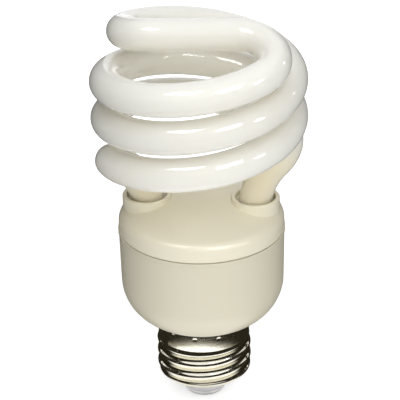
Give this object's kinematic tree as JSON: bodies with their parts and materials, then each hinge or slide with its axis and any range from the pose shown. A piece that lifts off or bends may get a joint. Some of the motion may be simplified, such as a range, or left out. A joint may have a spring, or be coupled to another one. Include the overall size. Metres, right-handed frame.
{
  "type": "spiral energy saving bulb",
  "caption": "Compact fluorescent lamp: a coiled white tube in a cream ballast housing on a metal screw cap.",
  "frame": {"origin": "middle of the centre contact's lowest face", "axes": "+Z along the lamp's axis, from the cap to the tube's bridge; +X through one leg of the tube"},
  "size_m": [0.0582, 0.0582, 0.1124],
  "materials": {
    "tube_glass": "white phosphor behind glossy glass",
    "holder_plastic": "semi-gloss moulded plastic",
    "housing_plastic": "semi-gloss moulded plastic",
    "cap_metal": "bright nickel plate",
    "insulator": "pale vitreous insulator",
    "contact_metal": "tinned contact",
    "cement": "matt lamp cement",
    "board": "bare laminate",
    "wire_metal": "tinned wire",
    "ferrite": "matt ferrite",
    "spool_plastic": "moulded spool",
    "copper_wire": "enamelled copper",
    "can_sleeve": "shrunk sleeve",
    "capacitor_dip": "dipped coating",
    "case_plastic": "moulded case",
    "resistor_body": "flame-proof coating",
    "sleeve": "woven glass sleeve"
  },
  "bodies": {
    "root": {"discharge_tube": "tube_glass", "tube_holder": "holder_plastic", "ballast_housing": "housing_plastic", "screw_shell": "cap_metal", "cap_insulator": "insulator", "centre_contact": "contact_metal", "tube_cement": "cement", "ballast_board": "board", "wrap_pins": "wire_metal", "tube_wires": "wire_metal", "choke_core": "ferrite", "choke_spool": "spool_plastic", "choke_winding": "copper_wire", "drive_ring": "ferrite", "drive_winding": "copper_wire", "filter_drum": "ferrite", "filter_winding": "copper_wire", "smoothing_capacitor": "can_sleeve", "resonance_capacitor": "capacitor_dip", "blocking_capacitor": "capacitor_dip", "switching_transistors": "case_plastic", "rectifier_diodes": "case_plastic", "fusible_resistor": "resistor_body", "resistor_sleeve": "sleeve", "shell_wire": "wire_metal"}
  },
  "joints": []
}
